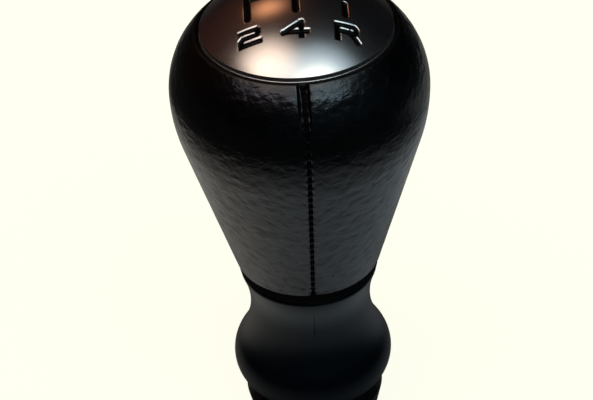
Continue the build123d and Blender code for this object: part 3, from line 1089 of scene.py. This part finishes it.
floor_dots = np.column_stack([np.cos(floor_turn), np.sin(floor_turn), np.zeros(floor_turns)])
floor_mesh.from_pydata((floor_r * floor_dots).tolist(), [], [list(range(floor_turns))])
floor = put("floor", floor_mesh)
floor_look = {"Roughness": 0.8, "Specular IOR Level": 0.0}
floor_finish, floor_surface, place = new_finish("floor_finish", floor_look)


def apart(spot, squeeze=1):
    """How far each place on the floor is from a spot, counted longer sideways where squeezed."""
    away = place.vector("SUBTRACT", spot).vector("MULTIPLY", (squeeze, 1, 1))
    return away.vector("LENGTH", out=1)


from_axis = apart((0, 0, 0))
far = ramp(apart(pool_middle, pool_squeeze), pool_in, pool_out)
# Painted shadow: the floor's glow darkens round the knob's foot and in a patch behind it
lit_share = ramp(from_axis, foot_in, foot_out) * ramp(apart(shade_middle), shade_in, shade_out)
# The floor's own colour turns near black further out, painted room dark
two_tone(far, floor_pale, floor_far_painted_dark).feed(floor_surface, "Base Color")
floor_side = place.axis(0)
floor_back = place.axis(1)
cool_side = pool_tint_way[0] * floor_side + pool_tint_way[1] * floor_back
pool_tone = two_tone(ramp(cool_side, -pool_tint_half, pool_tint_half), pool_warm, pool_cool)
pool_tone = two_tone(lit_share, painted_foot_shadow, pool_tone)
back_share = ramp(floor_back - back_slant * abs(floor_side), back_in, back_out)
back_share = back_share * (1 - ramp(from_axis, back_near, back_far))
side_share = ramp(side_way[0] * floor_side + side_way[1] * floor_back, side_in, side_out)
side_share = side_share * (1 - ramp(from_axis, side_near, side_far)) * (1 - back_share)
pool_tone = two_tone(side_share, two_tone(back_share, pool_tone, back_painted_light), side_painted_light)
# The floor glows with this painted light only where it is mirrored, though it is no lamp
pool = place.node("ShaderNodeEmission", {}, {"Color": pool_tone})
shaded_cream = tuple(shadow_share * c for c in cream[:3]) + (1,)
near_cream = tuple(floor_glow * c for c in cream[:3]) + (1,)
seen_floor = place.node("ShaderNodeBsdfDiffuse", {}, {"Color": shaded_cream})
glow_tone = two_tone(ramp(from_axis, fade_in, fade_out), near_cream, cream)
glow = place.node("ShaderNodeEmission", {}, {"Color": glow_tone})
shown = place.node("ShaderNodeAddShader", {}, {0: seen_floor, 1: glow})
to_camera = place.node("ShaderNodeLightPath", {}, {})
in_gloss = place.node("ShaderNodeLightPath", {}, {}, 3)
lit = Wire(floor_surface.outputs[0])
dark_share = (1 - pool_tail) * far * (1 - back_share) * (1 - side_share)
pool_share = in_gloss * (1 - dark_share)
mirrored = place.node("ShaderNodeMixShader", {}, {0: pool_share, 1: lit, 2: pool})
mixed = place.node("ShaderNodeMixShader", {}, {0: to_camera, 1: mirrored, 2: shown})
mixed.feed(floor_finish.node_tree.nodes["Material Output"], "Surface")
floor_mesh.materials.append(floor_finish)

# Light: a dim room, brown to the left, with a warm and a cool soft lamp overhead, a small one
# under the cool one, a rosy and a cool low panel in front and an amber lamp behind, each brightest
# in its middle and turned to the knob.
room_dark = (0.0035, 0.004, 0.005, 1)
room_brown = (0.036, 0.011, 0.008, 1)
brown_way = (-0.69, 0.43, 0.59)
room_cool = (0.03, 0.048, 0.062, 1)
cool_way = (0.55, -0.80, 0.24)
lamp_aim = np.array([0, 0, 0.09])
tint_from = 0.45
lamp_distance = 0.8
room = bpy.data.worlds.new("room")
room.use_nodes = True
room_out = room.node_tree.nodes["World Output"]
room_light = room.node_tree.nodes["Background"]
sky_way = Wire(room.node_tree.nodes.new("ShaderNodeTexCoord").outputs["Generated"])
brown_share = ramp(sky_way.vector("DOT_PRODUCT", brown_way, out=1), tint_from, 1.0)
cool_share = ramp(sky_way.vector("DOT_PRODUCT", cool_way, out=1), tint_from, 1.0)
room_tone = two_tone(brown_share, room_dark, room_brown)
two_tone(cool_share, room_tone, room_cool).feed(room_light, "Color")
dim = Wire(room_light.outputs[0])
backdrop = dim.node("ShaderNodeBackground", {}, {"Color": cream, "Strength": 1.0})
to_camera = dim.node("ShaderNodeLightPath", {}, {})
dim.node("ShaderNodeMixShader", {}, {0: to_camera, 1: dim, 2: backdrop}).feed(room_out, "Surface")
bpy.context.scene.world = room


def bearing(side_deg, up_deg):
    """The way to something that far round from the front and that far up."""
    side, up = math.radians(side_deg), math.radians(up_deg)
    return np.array([math.sin(side) * math.cos(up), -math.cos(side) * math.cos(up), math.sin(up)])


# Each lamp has its bearing, how far up it is and faces, its width, height and spread, its glow and
# its colour
for name, side_deg, up_deg, facing_deg, wide_deg, tall_deg, spread_deg, glow, colour in (
    ("warm_lamp", -63.4, 72, 62, 84, 44, 56, 3.7, (1.0, 0.8, 0.66)),
    ("cool_lamp", 26.5, 73, 54.5, 96, 50, 71, 2.65, (0.68, 0.88, 1.0)),
    ("small_lamp", 21, 58.5, 58.5, 34, 18, 110, 1.9, (1.0, 0.81, 0.5)),
    ("cool_panel", 26, 40.5, 40.5, 41, 6, 110, 5.7, (0.58, 0.84, 1.0)),
    ("rosy_panel", -36, 45, 45, 61, 6, 110, 3.2, (0.92, 0.80, 0.95)),
    ("amber_lamp", -162, 45, 45, 22, 22, 22, 2.8, (1.0, 0.42, 0.2)),
):
    way = bearing(side_deg, up_deg)
    turned = bearing(side_deg, facing_deg)
    lamp = bpy.data.lights.new(name, "AREA")
    lamp.shape = "ELLIPSE"
    lamp.size = 2 * lamp_distance * math.tan(math.radians(wide_deg / 2))
    lamp.size_y = 2 * lamp_distance * math.tan(math.radians(tall_deg / 2))
    lamp.spread = math.radians(spread_deg)
    falloff = 1 - lamp.spread / 2 / math.tan(lamp.spread / 2)
    lamp.energy = glow * falloff * math.pi**2 / 4 * lamp.size * lamp.size_y
    lamp.color = colour
    stand = put(name, lamp)
    x_axis = np.cross([0, 0, 1.0], turned)
    x_axis /= np.linalg.norm(x_axis)
    y_axis = np.cross(turned, x_axis)
    lamp_axes = np.column_stack([x_axis, y_axis, turned, lamp_aim + way * lamp_distance])
    stand.matrix_world = Matrix(lamp_axes.tolist() + [[0, 0, 0, 1]])

# Camera: a short telephoto held above the knob and looking down on its front, a little to the
# left of the seam and tipped slightly.
camera_place = (0.0, -282.77, 277.79)
camera_right = (0.9986366, -0.0280988, -0.0439932)
camera_up = (0.0519624, 0.6155773, 0.7863615)
camera_ahead = (-0.0049854, 0.7875754, -0.6161981)
seam_side_deg = -2.3
camera_lens = 108.44
eye = bpy.data.cameras.new("camera")
eye.lens = camera_lens
eye.sensor_width = 36
eye.sensor_fit = "HORIZONTAL"
eye.clip_start = 0.01
camera = put("camera", eye)
axes = np.column_stack([camera_right, camera_up, -np.array(camera_ahead), np.array(camera_place) * mm])
aside_turn = Matrix.Rotation(math.radians(seam_side_deg), 4, "Z")
camera.matrix_world = aside_turn @ Matrix(axes.tolist() + [[0, 0, 0, 1]])
bpy.context.scene.camera = camera
bpy.context.scene.view_settings.view_transform = "Standard"
